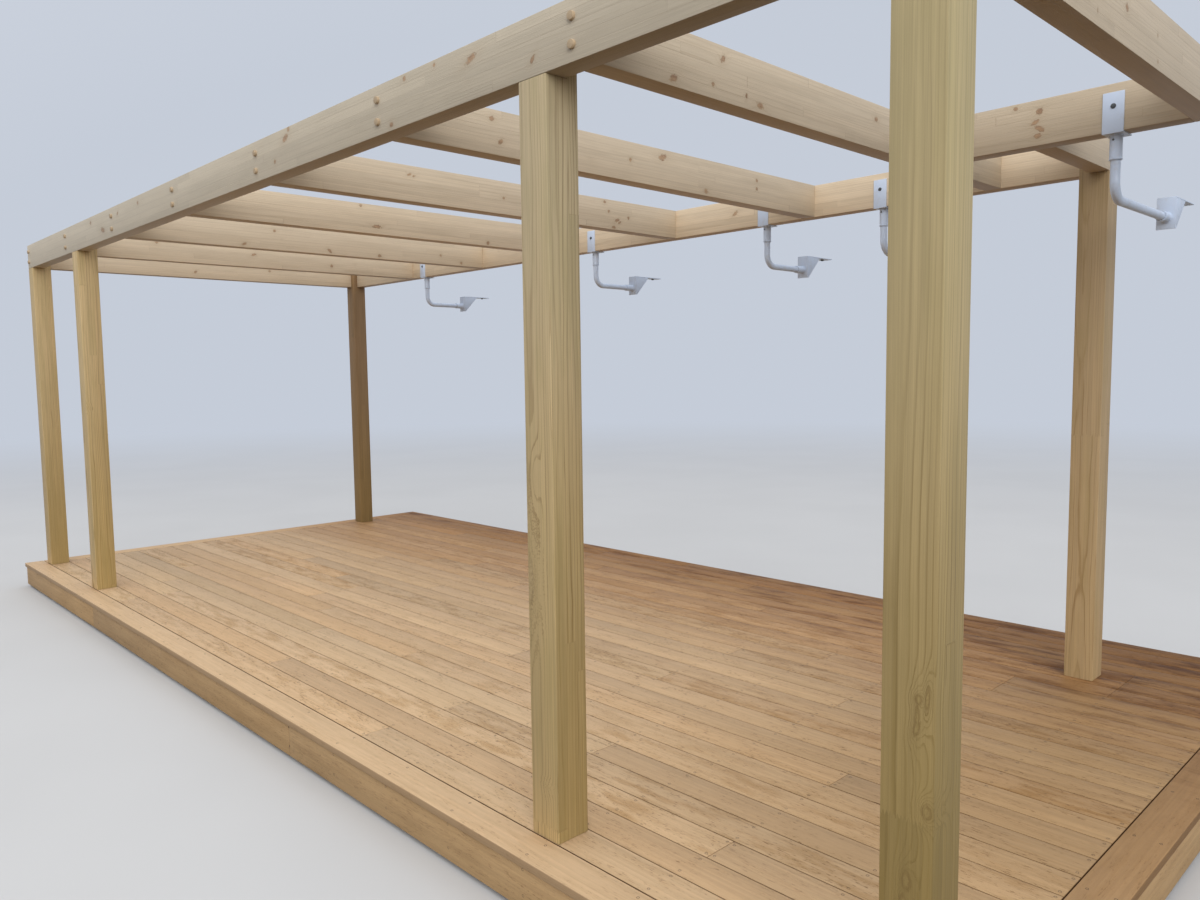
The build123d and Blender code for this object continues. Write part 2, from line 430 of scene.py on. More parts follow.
        # painted shade: the deck is made darker towards the back and the near end
        spot = t.objectPlace()
        spotX, spotY, _ = t.separate(spot)
        colour = t.mix(t.ease(spotY, *aging["backTint"]), colour, look.backTint, "MULTIPLY")
        nearShare = t.times(t.ease(spotX, *aging["nearTintX"]),
                            t.ease(spotY, *aging["nearTint"]))
        colour = t.mix(nearShare, colour, look.nearTint, "MULTIPLY")
        dash = t.noise(shifted, (5.0, 95.0), 3.0, 0.6)
        dashShare = t.times(t.ease(dash, 0.68, 0.74),
                            t.ease(spotY, *aging["dashes"], 0.0, look.dashes))
        colour = t.mix(dashShare, colour, look.poreColour)
        damp = t.noise(spot, (2.0, 10.0, 1.0), 6.0, 0.7)
        slanted = t.plus(spotY, t.times(spotX, aging["dampSlant"]))
        dampReach = t.most(t.ease(slanted, *aging["damp"]),
                           t.ease(spotY, *aging["rearDamp"]))
        dampShare = t.times(dampReach, t.ease(damp, 0.46, 0.66, 0.0, look.damp))
        colour = t.mix(dampShare, colour, look.dampTint, "MULTIPLY")
        # painted shade: the rear rows are made darker still, as strongly as the damp stains
        rearShare = t.ease(spotY, *aging["rearTint"], 0.0, look.damp)
        colour = t.mix(rearShare, colour, look.rearTint, "MULTIPLY")
    if look.footShare:
        skin = aging["skin"]
        frontSkin = t.ease(v, skin, 0.0)
        footReach = t.ease(u, look.footHeight, aging["footFrom"], 0.0, look.footShare)
        foot = t.times(footReach, t.minus(1.0, t.times(frontSkin, look.frontClean)))
        colour = t.mix(foot, colour, look.foot)
        colour = t.mix(t.ease(u, *aging["topTint"]), colour, look.topTint, "MULTIPLY")
        # painted light: the front face of the post is made lighter
        light = t.plus(light, t.times(frontSkin, look.frontLift))
        sideSkin = t.ease(w, look.width - skin, look.width)
        sideReach = t.ease(u, *aging["sideDark"], 0.0, look.sideDark)
        light = t.minus(light, t.times(sideSkin, sideReach))
    depth = look.streak
    light = t.times(light, t.ease(streak, 0.25, 0.75, 1 - depth, 1 + depth * 0.6))
    light = t.minus(light, t.times(t.minus(patch, 0.5), t.times(figure, look.cloud * 4)))
    light = t.times(light, t.ease(fibre, 0.2, 0.8, 0.965, 1.03))
    fineLine = t.noise(shifted, (1.3, 270.0), 1.0, 0.5)
    lines = look.fineLines
    light = t.times(light, t.ease(fineLine, 0.3, 0.62, 1 - lines, 1 + lines * 0.5))
    colour = t.mix(1.0, colour, t.combine(light, light, light), "MULTIPLY")
    knotColour = t.mix(t.ease(t.plus(rough, t.times(streak, 0.6)), look.knotDarkFrom, 1.05),
                       look.knotLight, look.knotDark)
    colour = t.mix(t.times(flow, look.halo), colour, look.late)
    colour = t.mix(t.times(knot, look.knotStrength), colour, knotColour)
    rimShare = t.times(knotRim, t.ease(t.plus(streak, ripple), 0.8, 1.15, 0.1, 1.0))
    colour = t.mix(t.times(rimShare, look.rim), colour, look.knotDark)
    glue = 0.0
    if look.length:
        inLayer = t.part(t.plus(t.over(v, look.layer), 0.5))
        fromGlue = t.times(t.calc("ABSOLUTE", t.minus(inLayer, 0.5)), look.layer)
        glueLine = t.ease(fromGlue, 0.0012, 0.0003, 0.0, 0.6)
        inRun = t.part(run)
        fromJoint = t.times(t.least(inRun, t.minus(1.0, inRun)), look.length)
        glue = t.most(glueLine, t.ease(fromJoint, 0.0013, 0.0004))
        colour = t.mix(t.times(glue, look.glue), colour, look.knotDark)
    # painted shade on the gap faces, darker further down from the top of the board
    inGap = t.attribute("inGap", "Fac")
    deep = t.ease(v, look.gapTop - 0.0006, look.gapTop - 0.0045, 0.0, 0.95)
    colour = t.mix(t.times(inGap, deep), colour, look.gapColour)
    endGrain = t.attribute("endGrain", "Fac")
    colour = t.mix(t.times(endGrain, 0.35), colour, look.endColour)
    roughness = t.plus(t.ease(fibre, 0.2, 0.8, look.rough - 0.07, look.rough + 0.08),
                       t.times(lateWood, -0.1))
    height = t.plus(t.times(fibre, 0.5), t.times(lateWood, 0.55))
    height = t.minus(height, t.times(glue, 0.6))
    height = t.plus(height, t.times(t.times(knot, rough), 0.5))
    return t.surface(colour, roughness, height, look.relief, **{"Specular IOR Level": look.shine})


# Looks of the different woods. Colours are linear.
roofLook = dict(
    layer=0.038, length=1.9, fingerPitch=0.005, fingerLength=0.012, width=0.088, heartNear=0.02,
    heartSpread=0.11, heartAside=0.0, wander=0.03, ring=0.0105, lateFrom=0.55, lineFrom=0.76,
    contrast=0.44, faintest=0.5, fineLines=0.025, early=(0.62, 0.52, 0.385),
    late=(0.44, 0.33, 0.205), stain=(0.55, 0.45, 0.32), stainShare=0.45, patchScale=(2.2, 14.0),
    cloud=0.05, warm=(0.60, 0.42, 0.24), cool=(0.55, 0.52, 0.42), pores=0.0, spread=0.1,
    streak=0.04, glue=0.3, rim=0.7, rimSharp=22.0, knotStrength=0.74, ragged=2.0, raggedScale=95.0,
    line=0.45, fade=0.0, fadeOver=8.0, knotCell=0.24, knotRadius=0.009, knotShare=0.34,
    figure=(1.0, 1.0), knotDark=(0.19, 0.085, 0.038), knotLight=(0.45, 0.27, 0.145),
    knotDarkFrom=0.6, halo=0.3, knotAxis=(1, 1, 0.3), swirl=0.016, whorls=(), whorlDepth=0.0,
    shift=0.0, endColour=(0.36, 0.27, 0.16), gapColour=(0.10, 0.045, 0.016), gapTop=0.032,
    rough=0.62, relief=0.0007, shine=0.3, footShare=0.0,
)
postLook = dict(
    roofLook, layer=0.045, length=2.3, fingerPitch=0.0046, fingerLength=0.014, width=0.135,
    heartNear=0.03, heartSpread=0.1, wander=0.05, ring=0.0112, lateFrom=0.62, contrast=1.0,
    line=0.7, early=(0.56, 0.415, 0.213), late=(0.24, 0.145, 0.05), stain=(0.47, 0.36, 0.158),
    stainShare=0.5, warm=(0.40, 0.23, 0.11), cool=(0.44, 0.40, 0.24), streak=0.07, faintest=0.2,
    fineLines=0.085, knotShare=0.15, knotCell=0.3, knotDark=(0.15, 0.09, 0.03),
    knotLight=(0.46, 0.34, 0.14), raggedScale=170.0, knotAxis=(1, 0.3, 1), knotStrength=0.6,
    knotDarkFrom=0.75, halo=0.1, rim=0.6, swirl=0.034, whorlDepth=0.024, fadeOver=2.5,
    endColour=(0.27, 0.2, 0.09), foot=(0.37, 0.255, 0.072), footHeight=1.9, footShare=0.55,
    frontClean=0.0, frontLift=0.0, sideDark=0.0, topLines=0.8, topTint=(1.0, 1.0, 1.0),
)
deckLook = dict(
    roofLook, layer=0.2, length=0.0, width=0.14, heartNear=0.03, heartSpread=0.16, wander=0.045,
    ring=0.0062, lateFrom=0.2, contrast=0.3, early=(0.605, 0.42, 0.245), late=(0.45, 0.275, 0.125),
    stain=(0.46, 0.28, 0.125), stainShare=0.6, patchScale=(5.5, 26.0),
    warm=(0.50, 0.27, 0.11), figure=(0.25, 1.5), cool=(0.56, 0.42, 0.255), pores=0.85,
    poreScale=(34.0, 230.0), poreColour=(0.14, 0.065, 0.022), mottleScale=(22.0, 75.0),
    # the back, near and rear tints are the colours of painted shade
    mottle=0.02, backTint=(0.655, 0.502, 0.345), nearTint=(0.67, 0.62, 0.525), streak=0.085,
    dashes=0.8, swirl=0.0, ragged=0.9, knotShare=0.05, knotCell=0.4, knotRadius=0.006,
    knotDark=(0.11, 0.05, 0.02), knotLight=(0.24, 0.12, 0.05), endColour=(0.24, 0.14, 0.065),
    relief=0.0006, shine=0.14, damp=0.95, dampTint=(0.44, 0.33, 0.235), rearTint=(0.72, 0.69, 0.64),
)
fasciaLook = dict(
    deckLook, width=0.15, early=(0.53, 0.355, 0.182), late=(0.36, 0.21, 0.095),
    stain=(0.34, 0.205, 0.09), stainShare=0.35, cloud=0.045, contrast=0.4,
    patchScale=(2.5, 14.0), figure=(0.8, 1.1), knotShare=0.25, pores=0.5, dashes=0.0,
    knotCell=0.3, ring=0.008, damp=0.0, backTint=(1.0, 1.0, 1.0), nearTint=(1.0, 1.0, 1.0),
)


# Where the frame of the part puts things
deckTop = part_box("deck_boards")[1].z
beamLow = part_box("front_beam")[0]
boxesOf = {name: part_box(name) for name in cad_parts}
print("frame read", len(boxesOf), "nodes")


# Roof timbers
roofTimbers = {
    # node: (seed, tone, warmth, knots as (along, up, size, stretch, lean, across))
    "front_beam": (3.7, 0.02, -0.35, [
        (4.9, 0.145, 0.015, 1.5, 0.8), (4.785, 0.06, 0.009, 1.0), (5.81, 0.022, 0.009, 1.2),
        (5.91, 0.17, 0.008, 1.2), (6.33, 0.138, 0.013, 1.7, 1.2), (6.66, 0.055, 0.01, 0.8, 0.6),
        (2.11, 0.068, 0.016, 2.0, -0.9), (1.84, 0.15, 0.011, 1.2), (2.44, 0.135, 0.01, 1.0, 0.7),
        (2.845, 0.145, 0.01, 1.0), (6.11, 0.172, 0.007, 1.0)]),
    "ledger_far": (8.3, 0.12, 0.16, [
        (3.33, 0.12, 0.012, 1.0), (5.055, 0.1, 0.014, 1.1, 0.8), (2.15, 0.15, 0.01, 1.6)]),
    "ledger_near": (12.9, -0.1, 0.1, [
        (0.495, 0.141, 0.011, 1.1), (0.478, 0.097, 0.009, 1.5, 0.8),
        (0.497, 0.07, 0.013, 1.0, -0.8), (0.49, 0.04, 0.009, 1.4), (0.395, 0.171, 0.006, 1.2)]),
    "return_beam": (15.1, -0.02, 0.1, []),
    "rafter_1": (21.4, 0.07, 0.12, [
        (1.254, 0.056, 0.011, 0.9, 0.5), (1.971, 0.11, 0.009, 1.0)]),
    "rafter_2": (25.8, 0.07, 0.1, [
        (0.546, 0.14, 0.009, 1.3), (1.329, 0.105, 0.01, 1.5, 0.9), (2.046, 0.06, 0.011, 1.0)]),
    "rafter_3": (29.6, 0.07, 0.08, [
        (0.774, 0.025, 0.011, 1.2, 0.8), (1.005, 0.14, 0.008, 1.2), (1.44, 0.03, 0.012, 1.0, -0.6),
        (1.875, 0.025, 0.01, 1.3), (2.46, 0.075, 0.009, 1.0), (2.67, 0.025, 0.01, 1.2)]),
    "rafter_4": (33.2, 0.06, 0.12, [
        (1.08, 0.174, 0.008, 1.0), (1.194, 0.05, 0.009, 3.0), (2.109, 0.022, 0.011, 1.0)]),
    "rafter_5": (37.9, 0.05, 0.06, [
        (0.736, 0.142, 0.007, 1.4, 0.9), (0.764, 0.136, 0.006, 1.4, 0.9),
        (1.377, 0.094, 0.007, 1.0), (2.205, 0.17, 0.008, 1.2), (2.241, 0.114, 0.008, 1.0),
        (2.318, 0.064, 0.011, 1.3, 0.9), (2.342, 0.052, 0.008, 1.3, 0.9), (2.424, 0.09, 0.008, 1.0),
        (2.286, 0.016, 0.009, 1.5)]),
    "rafter_6": (43.1, 0.03, 0.03, [
        (0.435, 0.15, 0.009, 1.2), (0.48, 0.06, 0.01, 1.0, 0.6), (1.281, 0.104, 0.008, 1.0),
        (1.515, 0.15, 0.013, 1.8, 0.6), (1.86, 0.025, 0.011, 1.4), (2.31, 0.14, 0.008, 1.0),
        (2.31, 0.094, 0.008, 1.0)]),
    "rafter_7": (47.7, -0.02, 0.0, [
        (0.321, 0.026, 0.012, 1.3, 0.5), (0.525, 0.05, 0.006, 1.2), (0.579, 0.144, 0.011, 1.0, 0.4),
        (0.714, 0.045, 0.007, 0.8), (0.795, 0.026, 0.01, 1.8), (1.62, 0.126, 0.009, 1.3)]),
    "rafter_8": (52.3, -0.02, 0.0, [
        (0.799, 0.041, 0.006, 0.5), (1.042, 0.111, 0.01, 1.0), (1.344, 0.104, 0.006, 0.6),
        (1.355, 0.025, 0.005, 1.0), (1.14, 0.12, 0.008, 1.0, 0.0, 0.0),
        (0.9, 0.05, 0.008, 1.4, 0.0, 0.0)]),
}
# the front beam gets painted light towards its far end and painted shade towards its near end
roof = {"arris": 0.003, "beamFade": 0.36, "rafterFace": 0.088}
for node, (seed, tone, warmth, knots) in roofTimbers.items():
    low, high = boxesOf[node]
    piece = addBlock(pieceName(node), low, high)
    roundEdges(piece, roof["arris"])
    along = "X" if high.x - low.x > high.y - low.y else "Y"
    setGrain(piece, along, "Z", seed, tone, warmth, low)
    look = dict(roofLook, fade=roof["beamFade"]) if node == "front_beam" else roofLook
    # a knot that gives no lean is straight, and one that gives no place across is on the outer face
    outer = 0.0 if along == "X" else roof["rafterFace"]
    knots = [knot + (0.0, outer)[len(knot) - 4:] for knot in knots]
    finishPiece(piece, woodMaterial(piece.name + "Pine", look, knots), "roof_timber", node)
print("roof timbers made", len(roofTimbers))


# Posts, with a tongue that runs up behind the beam
posts = {
    # node: (seed, tone, warmth, own look, knots as above)
    # the front lift makes a post's front face lighter: painted light
    "post_far_corner": (61.3, 0.0, 0.0, dict(frontLift=0.23, frontClean=1.0, sideDark=0.1), []),
    "post_second": (64.9, 0.0, 0.0, dict(frontLift=0.3, frontClean=1.0), []),
    "post_middle": (68.2, 0.0, -0.05, dict(
        frontLift=0.2, frontClean=0.6, ring=0.009, wander=0.04, sideDark=0.15, heartAside=0.055,
        lineFrom=0.68, faintest=0.4, topTint=(0.87, 0.95, 1.13), knotLight=(0.58, 0.43, 0.23),
        knotDark=(0.27, 0.18, 0.08), whorls=((1.235, 0.05, 0.02, 4.0),)), [
        (0.885, 0.0, 0.019, 3.6, 0.0, 0.012), (0.62, 0.135, 0.0022, 9.0, 0.0, 0.11)]),
    "post_near_corner": (73.6, -0.08, -0.15, dict(
        late=(0.14, 0.085, 0.028), cool=(0.42, 0.37, 0.17), topTint=(0.94, 1.02, 1.08),
        topLines=0.3, wander=0.03, heartAside=0.09, streak=0.045, sideDark=0.25, shift=0.236,
        stainShare=0.3, footShare=0.75, faintest=0.5, lineFrom=0.6, ring=0.0098,
        knotLight=(0.40, 0.29, 0.11), knotDark=(0.2, 0.125, 0.042), knotStrength=0.55, rim=0.55,
        rimSharp=6.0, ragged=0.9,
        whorls=((0.2, 0.08, 0.028, 4.0), (0.8, 0.105, 0.017, 2.6), (0.565, 0.117, 0.013, 2.0))), [
        (0.833, 0.0, 0.0048, 4.6, 1.4, 0.115), (0.826, 0.0, 0.0075, 1.3, 0.0, 0.093),
        (0.78, 0.0, 0.0044, 6.5, 0.0, 0.09), (0.756, 0.0, 0.007, 1.8, 0.8, 0.089),
        (0.567, 0.0, 0.0095, 1.5, 0.0, 0.117), (0.385, 0.0, 0.009, 2.2, 0.0, 0.07),
        (0.33, 0.0, 0.007, 2.2, 0.0, 0.062)]),
    # painted shade and painted warm light bounced off the deck: the back far post is much darker
    # and warmer than the rest
    "post_back_far": (79.5, -0.45, 0.75, dict(frontLift=0.1), []),
    "post_back_near": (83.7, -0.08, 0.22, dict(
        # painted shade: this post is made darker towards its top
        frontLift=0.05, fade=0.36, ring=0.0075, wander=0.045, heartAside=0.05, footShare=0.15,
        early=(0.54, 0.405, 0.23), late=(0.27, 0.175, 0.08)), []),
}
postArris = 0.0035
for node, (seed, tone, warmth, ownLook, knots) in posts.items():
    low, high = boxesOf[node]
    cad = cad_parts[node]
    tops = [v.co for v in cad.data.vertices if v.co.z > high.z - hair]
    tongueLow = Vector((min(c.x for c in tops), min(c.y for c in tops), beamLow.z))
    tongueHigh = Vector((max(c.x for c in tops), max(c.y for c in tops), high.z))
    piece = addBlock(pieceName(node), low, (high.x, high.y, beamLow.z))
    cuts = [(spot, way) for way in ((1, 0, 0), (0, 1, 0)) for spot in (tongueLow, tongueHigh)]
    for spot, way in cuts:
        axis = 0 if way[0] else 1
        if low[axis] + hair < spot[axis] < high[axis] - hair:
            pickFaces(piece, lambda centre, normal: normal.z > facing)
            bpy.ops.mesh.bisect(plane_co=spot, plane_no=way)
            objectMode()
    pickFaces(piece, lambda centre, normal: normal.z > facing
              and tongueLow.x < centre.x < tongueHigh.x and tongueLow.y < centre.y < tongueHigh.y)
    pullOut((0, 0, high.z - beamLow.z))
    roundEdges(piece, postArris)
    setGrain(piece, "Z", "Y", seed, tone, warmth, low)
    look = dict(postLook, **ownLook)
    finishPiece(piece, woodMaterial(piece.name + "Pine", look, knots), "post_timber", node)
print("posts made", len(posts))


# Round plugs over the bolts that hold the rafters to the front beam
plugs = {"radius": 0.0142, "stand": 0.011, "sunk": 0.006, "heights": (0.051, 0.134), "sides": 28,
         "arris": 0.002, "tones": (-0.16, -0.04), "warmth": 0.55}
plugParts = []
for i in range(1, 9):
    low, high = boxesOf[f"rafter_{i}"]
    for height in plugs["heights"]:
        spot = ((low.x + high.x) / 2, beamLow.y - (plugs["stand"] - plugs["sunk"]) / 2,
                beamLow.z + height)
        part = addDisc("plug", spot, plugs["radius"], plugs["stand"] + plugs["sunk"], lyingBack,
                       plugs["sides"], plugs["arris"])
        setGrain(part, "Y", "Z", 90 + i * 3.3 + height * 40, random.uniform(*plugs["tones"]),
                 plugs["warmth"])
        plugParts.append(part)
plugLook = dict(roofLook, layer=0.2, length=0.0, knotShare=0.0, ring=0.004, width=0.03)
finishPiece(joinPieces("beamPlugs", plugParts), woodMaterial("plugPine", plugLook), "roof_timber")
print("plugs made", len(plugParts))


# Metal finishes
def metalMaterial(name, look):
    t = nodeTools(bpy.data.materials.new(name))
    place = t.objectPlace()
    grime = t.noise(place, look["grimeScale"], 4.0, 0.6)
    peel = t.noise(place, look["peelScale"], 2.0, 0.5)
    colour = t.mix(t.ease(grime, 0.5, 0.75, 0.0, look["grimeShare"]), look["colour"], look["grime"])
    roughness = t.ease(grime, 0.3, 0.7, look["rough"] - 0.06, look["rough"] + 0.1)
    return t.surface(colour, roughness, t.plus(t.times(peel, 0.5), grime), look["relief"],
                     Metallic=look["metallic"])


whitePaint = metalMaterial("whitePaint", {
    "colour": (0.58, 0.67, 0.82), "grime": (0.5, 0.5, 0.5), "grimeShare": 0.35, "grimeScale": 26.0,
    "peelScale": 900.0, "rough": 0.36, "relief": 0.0003, "metallic": 0.0})
boltSteel = metalMaterial("boltSteel", {
    "colour": (0.09, 0.095, 0.1), "grime": (0.16, 0.14, 0.12), "grimeShare": 0.5,
    "grimeScale": 90.0, "peelScale": 1400.0, "rough": 0.45, "relief": 0.0002, "metallic": 0.8})
screwSteel = metalMaterial("screwSteel", {
    "colour": (0.05, 0.032, 0.02), "grime": (0.025, 0.018, 0.013), "grimeShare": 0.6,
    "grimeScale": 300.0, "peelScale": 1400.0, "rough": 0.7, "relief": 0.0001, "metallic": 0.1})
screw = {"radius": 0.0052, "head": 0.0016, "drive": 0.00286, "driveDepth": 0.0007, "sides": 10}


def scatterScrews(name, turn, outward, spots, slot):
    # one flat head with a sunk drive, copied to each spot
    first = addDisc("screw", (0, 0, 0), screw["radius"], screw["head"], turn, screw["sides"])
    pickFaces(first, lambda centre, normal: normal.dot(outward) > facing)
    bpy.ops.mesh.inset(thickness=screw["radius"] - screw["drive"])
    bpy.ops.transform.translate(value=outward * -screw["driveDepth"])
    objectMode()
    screws = []
    for spot in spots:
        made = addToScene("screw", first.data.copy())
        made.data.transform(Matrix.Translation(spot))
        screws.append(made)
    bpy.data.objects.remove(first)
    finishPiece(joinPieces(name, screws), screwSteel, slot)
    print(name, "made", len(screws))


# Deck boards in rows along X, with butt joints over the joists
deck = {
    "board": 0.140, "gap": 0.005, "butt": 0.0018, "arris": 0.0013, "leastBoard": 0.02,
    "tones": (-0.05, 0.05), "warmths": (-0.22, 0.22), "firstJoist": 3.537, "joistStep": 0.430,
    "joists": 18, "screwIn": 0.019, "screwProud": 0.0004, "endIn": 0.016, "offJoist": 0.008,
    "clearOfEnd": 0.05, "driftX": (-0.012, -0.004), "driftY": (-0.003, 0.003), "edgeIn": 0.03,
    "edgeArris": 0.004, "borderArris": 0.002, "arrisSteps": 3, "outerShade": 0.4,
    "firstBorderScrew": 0.06, "borderScrewStep": 0.45,
}
joistLines = [deck["firstJoist"] - deck["joistStep"] * k for k in range(deck["joists"])]
rowJoints = (
    # for each row: the joists that its butt joints stand over, counted from the near end
    (5, 13), (8,), (1, 13), (5, 14), (3, 9), (7, 15), (10,), (1, 11, 13), (6,), (11,), (4, 12),
    (6, 14), (2, 10), (7,), (4, 13), (9,), (3, 12), (1, 11), (1, 15), (0, 7), (0, 5, 12), (0, 9),
    (3, 14), (6, 12), (2, 10), (8,),
)
boardTones = {
    # (row, board from the far end): how much lighter or darker than its neighbours
    (2, 0): 0.05, (4, 0): -0.07, (4, 1): 0.05, (4, 2): -0.03, (6, 0): -0.03, (7, 0): -0.05,
    (7, 1): 0.11, (9, 0): -0.05, (9, 1): 0.06, (11, 1): -0.07, (18, 1): 0.07, (0, 0): 0.05,
    (0, 1): 0.03, (0, 2): 0.03,
}
boardsLow, boardsHigh = boxesOf["deck_boards"]
deckWood = woodMaterial("deckWood", deckLook)
# the edge board gets painted light towards its far end and painted shade towards its near end
edgeWood = woodMaterial("edgeWood", dict(
    deckLook, figure=(0.3, 0.3), pores=0.4, mottle=0.025, fade=0.14))
borderWood = woodMaterial("borderWood", dict(
    deckLook, figure=(0.5, 0.5), pores=0.35, mottle=0.03))
screwSpots = []


def makeBoard(low, high, seed, tone, warmth):
    piece = addBlock("board", low, high)
    roundEdges(piece, deck["arris"])
    setGrain(piece, "X", "Z", seed, tone, warmth, low)
    shadeSides(piece, lambda centre, normal: abs(normal.z) < 0.5)
    return piece


rows = 0
rowLow = boardsLow.y
while rowLow < boardsHigh.y - deck["leastBoard"]:
    rowHigh = min(rowLow + deck["board"], boardsHigh.y)
    cutsAt = sorted(joistLines[k] for k in rowJoints[rows])
    starts = [boardsLow.x] + [x + deck["butt"] / 2 for x in cutsAt]
    stops = [x - deck["butt"] / 2 for x in cutsAt] + [boardsHigh.x]
    parts = []
    for i, (start, stop) in enumerate(zip(starts, stops)):
        tone = boardTones.get((rows, i), random.uniform(*deck["tones"]))
        warmth = random.uniform(*deck["warmths"])
        parts.append(makeBoard(Vector((start, rowLow, boardsLow.z)), (stop, rowHigh, boardsHigh.z),
                               100 + rows * 3.7 + i * 1.3, tone, warmth))
        clear = deck["clearOfEnd"]
        lines = [x for x in joistLines if start + clear < x < stop - clear]
        lines += [start + deck["endIn"] + deck["offJoist"], stop - deck["endIn"] + deck["offJoist"]]
        for x in lines:
            for y in (rowLow + deck["screwIn"], rowHigh - deck["screwIn"]):
                screwSpots.append((x + random.uniform(*deck["driftX"]),
                                   y + random.uniform(*deck["driftY"])))
    piece = joinPieces(f"deckRow{rows + 1:02d}", parts)
    finishPiece(piece, deckWood, "deck_timber", "deck_boards")
    rows += 1
    rowLow += deck["board"] + deck["gap"]
print("deck rows made", rows)

# the edge board along the front and a border board at each end
for node, along, seed, tone, warmth in (
    ("deck_edge_board", "X", 211.3, 0.05, -0.05), ("deck_border_far", "Y", 217.9, 0.04, 0.1),
    ("deck_border_near", "Y", 223.1, -0.08, 0.4),
):
    low, high = boxesOf[node]
    piece = addBlock(pieceName(node), low, high)
    arris = deck["edgeArris"] if along == "X" else deck["borderArris"]
    roundEdges(piece, arris, deck["arrisSteps"])
    setGrain(piece, along, "Z", seed, tone, warmth, low)
    inner = Vector((0, 1, 0)) if along == "X" else Vector((-1 if low.x > 0 else 1, 0, 0))
    shadeSides(piece, lambda centre, normal: 1.0 if normal.dot(inner) > facing
               else deck["outerShade"] * (normal.dot(inner) < -facing))
    finishPiece(piece, edgeWood if along == "X" else borderWood, "deck_timber", node)
    if along == "X":
        for x in joistLines + [low.x + deck["edgeIn"], high.x - deck["edgeIn"]]:
            screwSpots += [(x, low.y + deck["edgeIn"]), (x, high.y - deck["edgeIn"])]
    else:
        y = low.y + deck["firstBorderScrew"]
        while y < high.y:
            screwSpots += [(low.x + deck["edgeIn"], y), (high.x - deck["edgeIn"], y)]
            y += deck["borderScrewStep"]

# a pair of screws in each board over each joist
screwZ = deckTop + deck["screwProud"] - screw["head"] / 2
scatterScrews("deckScrews", upright, Vector((0, 0, 1)), [(x, y, screwZ) for x, y in screwSpots],
              "deck_timber")


# Fascia boards round the deck, butted end to end
fasciaBoards = {
    # node: (way along it, way through it, where its lengths meet)
    "fascia_front": ("X", "Y", (-2.18, 0.955)), "fascia_far": ("Y", "X", ()),
    "fascia_near": ("Y", "X", ()),
}
fascia = {"halfButt": 0.001, "arris": 0.002, "tones": (0.0, -0.04, 0.03), "warmth": 0.1,
          "screwHeights": (0.068, 0.158), "screwProud": 0.0003}
fasciaWood = woodMaterial("fasciaWood", fasciaLook)
for node, (along, stack, joints) in fasciaBoards.items():
    low, high = boxesOf[node]
    axis = "XY".index(along)
    marks = [low[axis], *joints, high[axis]]
    parts = []
    for i, (start, stop) in enumerate(zip(marks, marks[1:])):
        partLow, partHigh = Vector(low), Vector(high)
        partLow[axis] = start + (fascia["halfButt"] if i else 0)
        partHigh[axis] = stop - (fascia["halfButt"] if stop != marks[-1] else 0)
        part = addBlock("fasciaLength", partLow, partHigh)
        roundEdges(part, fascia["arris"])
        setGrain(part, along, stack, 231 + i * 4.7 + axis * 17, fascia["tones"][i],
                 fascia["warmth"], partLow)
        parts.append(part)
    finishPiece(joinPieces(pieceName(node), parts), fasciaWood, "fascia_timber", node)
print("fascia made")
screwY = boxesOf["fascia_front"][0].y - fascia["screwProud"] + screw["head"] / 2
screwSpots = [(x, screwY, height) for x in joistLines for height in fascia["screwHeights"]]
scatterScrews("fasciaScrews", lyingBack, Vector((0, -1, 0)), screwSpots, "fascia_timber")


# Joists and bearers stay as they are, in rough sawn wood
def sawnMaterial(name, look, turned):
    t = nodeTools(bpy.data.materials.new(name))
    place = t.objectPlace()
    if turned:
        x, y, z = t.separate(place)
        place = t.combine(y, x, z)
    grain = t.noise(place, (2.5, 70.0), 3.0, 0.6)
    saw = t.noise(place, (260.0, 8.0), 2.0, 0.5)
    damp = t.noise(place, 2.2, 3.0, 0.55)
    colour = t.mix(t.ease(grain, 0.35, 0.7), look["pale"], look["dark"])
    colour = t.mix(t.ease(damp, 0.5, 0.75, 0.0, 0.5), colour, look["damp"])
    height = t.plus(grain, t.times(saw, 0.6))
    return t.surface(colour, t.ease(grain, 0.2, 0.8, 0.7, 0.9), height, look["relief"])


sawnLook = {"pale": (0.36, 0.27, 0.14), "dark": (0.24, 0.17, 0.08), "damp": (0.15, 0.115, 0.06),
            "relief": 0.0012}
for node, turned in (("deck_joists", True), ("deck_bearers", False)):
    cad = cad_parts[node]
    cad.data.materials.clear()
    cad.data.materials.append(sawnMaterial(node + "Sawn", sawnLook, turned))


# Brackets: a plate on the ledger, a bent pipe and a foot further back
bracket = {
    "plate": 0.006, "edge": 0.0012, "tubeSides": 32, "tubeEdge": 0.0008, "collar": 0.024,
    "collarWall": 0.0047, "collarLength": 0.1, "pipe": 0.019, "pipeWall": 0.003, "bend": 0.075,
    "bendSteps": 14, "sleeve": 0.08, "gusset": 0.15, "toe": 0.006, "weld": 0.003, "weldSunk": 0.001,
    "weldSides": 8, "lip": 0.0016, "lipUp": 0.004, "lipOut": 0.0002, "boltUp": 0.1,
    "footBolts": (0.09, 0.24), "washer": 0.0016, "merge": 0.00002, "headArris": 0.16,
    "rimArris": 0.3,
}
bolts = {
    # across its flats, head, how far out its middle is; the washer's radius, how far out it is
    "plate": (0.0135, 0.006, 0.003, 0.0105, 0.0005),
    "foot": (0.017, 0.007, 0.0045, 0.013, 0.0008),
}
collarScrew = {"radius": 0.0045, "head": 0.004, "aside": 0.004, "down": 0.02}


